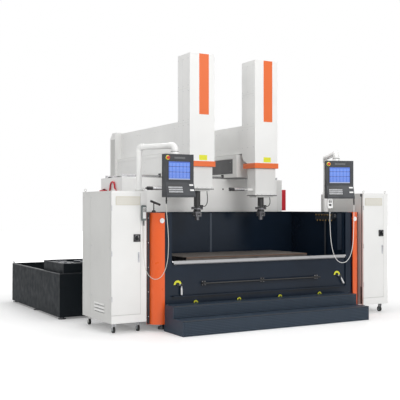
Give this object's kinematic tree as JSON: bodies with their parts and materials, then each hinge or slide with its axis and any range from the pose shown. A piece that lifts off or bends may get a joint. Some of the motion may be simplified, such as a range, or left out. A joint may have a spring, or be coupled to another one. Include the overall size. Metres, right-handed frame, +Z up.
{
  "type": "electrical discharge machine",
  "caption": "Large gantry style sinker electrical discharge machine with twin ram heads over a glossy work tank, power cabinets, swinging control screens and a rear reservoir.",
  "frame": {"origin": "on the floor under the middle of the whole installation's outline", "axes": "+Z up, +X to the right as seen by the operator in front of the tank, +Y from the steps to the rams' rear"},
  "size_m": [4.855, 4.755, 3.996],
  "materials": {
    "white_paint": "satin",
    "casting_paint": "satin",
    "navy_paint": "gloss",
    "dark_plate": "satin",
    "orange_paint": "gloss",
    "red_paint": "satin",
    "ground_steel": "ground",
    "chrome_parts": "polished",
    "cast_table": "ground",
    "black_parts": "satin",
    "screen_case": "satin",
    "wheel_black": "matte",
    "orange_plastic": "gloss",
    "grey_plastic": "matte",
    "white_plastic": "matte",
    "hose_rubber": "matte",
    "cord_plastic": "satin",
    "module_paint": "matte"
  },
  "bodies": {
    "machine": {"machine_bed": "white_paint", "x_guide_rails": "ground_steel", "x_ball_screw": "ground_steel", "bed_end_guard": "red_paint", "leveling_feet": "black_parts", "tank_shell": "navy_paint", "corner_posts": "orange_paint", "work_table": "cast_table", "table_pedestals": "ground_steel", "flushing_manifold": "navy_paint", "front_steps": "dark_plate", "tank_lamp": "black_parts", "dielectric_reservoir": "dark_plate", "filter_housing": "dark_plate", "cabinet_shell_left": "white_paint", "cabinet_shell_right": "white_paint", "power_modules": "module_paint", "pendant_left": "grey_plastic", "pendant_cord_left": "cord_plastic"},
    "door": {"tank_door": "navy_paint", "door_rail": "chrome_parts", "door_handle": "black_parts"},
    "lever_left": {"clamp_lever_left": "white_plastic"},
    "lever_right": {"clamp_lever_right": "white_plastic"},
    "saddle_l": {"saddle_left": "casting_paint"},
    "saddle_r": {"saddle_right": "casting_paint"},
    "ram_l": {"ram_left": "casting_paint", "head_housing_left": "white_paint"},
    "ram_r": {"ram_right": "casting_paint", "head_housing_right": "white_paint"},
    "z_slide_l": {"z_slide_left": "casting_paint", "head_hose_left": "hose_rubber"},
    "z_slide_r": {"z_slide_right": "casting_paint", "head_hose_right": "hose_rubber"},
    "quill_l": {"quill_left": "black_parts"},
    "quill_r": {"quill_right": "black_parts"},
    "chuck_l": {"chuck_left": "chrome_parts"},
    "chuck_r": {"chuck_right": "chrome_parts"},
    "arm_left": {"screen_arm_left": "white_paint", "screen_housing_left": "screen_case"},
    "arm_right": {"screen_arm_right": "white_paint"},
    "screen_right": {"screen_housing_right": "screen_case", "pendant_right": "white_plastic", "pendant_cord_right": "cord_plastic"},
    "stop_left": {"estop_left": "orange_plastic"},
    "stop_right": {"estop_right": "orange_plastic"},
    "cabinet_door_l": {"cabinet_door_left": "white_paint"},
    "cabinet_door_r": {"cabinet_door_right": "white_paint"},
    "switch_left": {"isolator_knob_left": "black_parts"},
    "switch_right": {"isolator_knob_right": "black_parts"},
    "fork_left_a": {"caster_fork_left_a": "chrome_parts"},
    "fork_left_b": {"caster_fork_left_b": "chrome_parts"},
    "fork_right_a": {"caster_fork_right_a": "chrome_parts"},
    "fork_right_b": {"caster_fork_right_b": "chrome_parts"},
    "wheel_left_a": {"caster_wheel_left_a": "wheel_black"},
    "wheel_left_b": {"caster_wheel_left_b": "wheel_black"},
    "wheel_right_a": {"caster_wheel_right_a": "wheel_black"},
    "wheel_right_b": {"caster_wheel_right_b": "wheel_black"},
    "rear_wheels_l": {"rear_wheels_left": "wheel_black"},
    "rear_wheels_r": {"rear_wheels_right": "wheel_black"}
  },
  "joints": [
    {"name": "door_lift", "type": "slide", "parent": "machine", "child": "door", "axis": [0, 0, 1], "range_m": [0, 0.64]},
    {"name": "lever_left_turn", "type": "hinge", "parent": "door", "child": "lever_left", "pos_m": [-1.3425, -1.8075, 0.612], "axis": [0, -1, 0], "range_deg": [0, 90]},
    {"name": "lever_right_turn", "type": "hinge", "parent": "door", "child": "lever_right", "pos_m": [1.4175, -1.8075, 0.63], "axis": [0, -1, 0], "range_deg": [0, 90]},
    {"name": "x_axis_left", "type": "slide", "parent": "machine", "child": "saddle_l", "axis": [1, 0, 0], "range_m": [-0.3, 0.08]},
    {"name": "y_axis_left", "type": "slide", "parent": "saddle_l", "child": "ram_l", "axis": [0, 1, 0], "range_m": [-0.55, 0]},
    {"name": "z_axis_left", "type": "slide", "parent": "ram_l", "child": "z_slide_l", "axis": [0, 0, 1], "range_m": [-0.28, 0.25]},
    {"name": "quill_left", "type": "slide", "parent": "z_slide_l", "child": "quill_l", "axis": [0, 0, 1], "range_m": [-0.15, 0.1]},
    {"name": "c_axis_left", "type": "hinge", "parent": "quill_l", "child": "chuck_l", "pos_m": [-0.4635, -0.7835, 1.6], "axis": [0, 0, 1], "range_deg": [-15, 15]},
    {"name": "x_axis_right", "type": "slide", "parent": "machine", "child": "saddle_r", "axis": [1, 0, 0], "range_m": [-0.08, 0.3]},
    {"name": "y_axis_right", "type": "slide", "parent": "saddle_r", "child": "ram_r", "axis": [0, 1, 0], "range_m": [-0.55, 0]},
    {"name": "z_axis_right", "type": "slide", "parent": "ram_r", "child": "z_slide_r", "axis": [0, 0, 1], "range_m": [-0.28, 0.25]},
    {"name": "quill_right", "type": "slide", "parent": "z_slide_r", "child": "quill_r", "axis": [0, 0, 1], "range_m": [-0.15, 0.1]},
    {"name": "c_axis_right", "type": "hinge", "parent": "quill_r", "child": "chuck_r", "pos_m": [0.7085, -0.7835, 1.6], "axis": [0, 0, 1], "range_deg": [-15, 15]},
    {"name": "arm_left_swing", "type": "hinge", "parent": "machine", "child": "arm_left", "pos_m": [-1.8575, -1.6755, 1.881], "axis": [0, 0, 1], "range_deg": [-30, 30]},
    {"name": "arm_right_swing", "type": "hinge", "parent": "machine", "child": "arm_right", "pos_m": [1.7725, -1.1055, 1.5], "axis": [0, 0, 1], "range_deg": [-12, 12]},
    {"name": "screen_right_swivel", "type": "hinge", "parent": "arm_right", "child": "screen_right", "pos_m": [1.1925, -2.0755, 2.355], "axis": [0, 0, 1], "range_deg": [-45, 45]},
    {"name": "stop_left_press", "type": "slide", "parent": "arm_left", "child": "stop_left", "axis": [0, 1, 0], "range_m": [0, 0.006], "stiffness_N_per_m": 800},
    {"name": "stop_right_press", "type": "slide", "parent": "screen_right", "child": "stop_right", "axis": [0.3584, 0.9336, 0], "range_m": [0, 0.006], "stiffness_N_per_m": 800},
    {"name": "cabinet_door_left_swing", "type": "hinge", "parent": "machine", "child": "cabinet_door_l", "pos_m": [-2.2755, -1.7325, 1], "axis": [0, 0, -1], "range_deg": [0, 100]},
    {"name": "main_switch_left", "type": "hinge", "parent": "cabinet_door_l", "child": "switch_left", "pos_m": [-1.91826, -1.7425, 1.256], "axis": [0, 1, 0], "range_deg": [0, 90]},
    {"name": "caster_left_a_swivel", "type": "hinge", "parent": "machine", "child": "fork_left_a", "pos_m": [-2.2075, -1.6525, 0.13], "axis": [0, 0, 1], "continuous": true},
    {"name": "caster_left_a_roll", "type": "hinge", "parent": "fork_left_a", "child": "wheel_left_a", "pos_m": [-2.2075, -1.6305, 0.04], "axis": [1, 0, 0], "continuous": true},
    {"name": "caster_left_b_swivel", "type": "hinge", "parent": "machine", "child": "fork_left_b", "pos_m": [-1.8515, -1.6525, 0.13], "axis": [0, 0, 1], "continuous": true},
    {"name": "caster_left_b_roll", "type": "hinge", "parent": "fork_left_b", "child": "wheel_left_b", "pos_m": [-1.8515, -1.6305, 0.04], "axis": [1, 0, 0], "continuous": true},
    {"name": "rear_wheels_left_roll", "type": "hinge", "parent": "machine", "child": "rear_wheels_l", "pos_m": [-2.0295, -0.7615, 0.04], "axis": [1, 0, 0], "continuous": true},
    {"name": "cabinet_door_right_swing", "type": "hinge", "parent": "machine", "child": "cabinet_door_r", "pos_m": [1.9285, -1.8355, 1], "axis": [0, 0, -1], "range_deg": [0, 100]},
    {"name": "main_switch_right", "type": "hinge", "parent": "cabinet_door_r", "child": "switch_right", "pos_m": [2.28574, -1.8455, 1.256], "axis": [0, 1, 0], "range_deg": [0, 90]},
    {"name": "caster_right_a_swivel", "type": "hinge", "parent": "machine", "child": "fork_right_a", "pos_m": [1.9965, -1.7555, 0.13], "axis": [0, 0, 1], "continuous": true},
    {"name": "caster_right_a_roll", "type": "hinge", "parent": "fork_right_a", "child": "wheel_right_a", "pos_m": [1.9965, -1.7335, 0.04], "axis": [1, 0, 0], "continuous": true},
    {"name": "caster_right_b_swivel", "type": "hinge", "parent": "machine", "child": "fork_right_b", "pos_m": [2.3525, -1.7555, 0.13], "axis": [0, 0, 1], "continuous": true},
    {"name": "caster_right_b_roll", "type": "hinge", "parent": "fork_right_b", "child": "wheel_right_b", "pos_m": [2.3525, -1.7335, 0.04], "axis": [1, 0, 0], "continuous": true},
    {"name": "rear_wheels_right_roll", "type": "hinge", "parent": "machine", "child": "rear_wheels_r", "pos_m": [2.1745, -0.8645, 0.04], "axis": [1, 0, 0], "continuous": true}
  ]
}
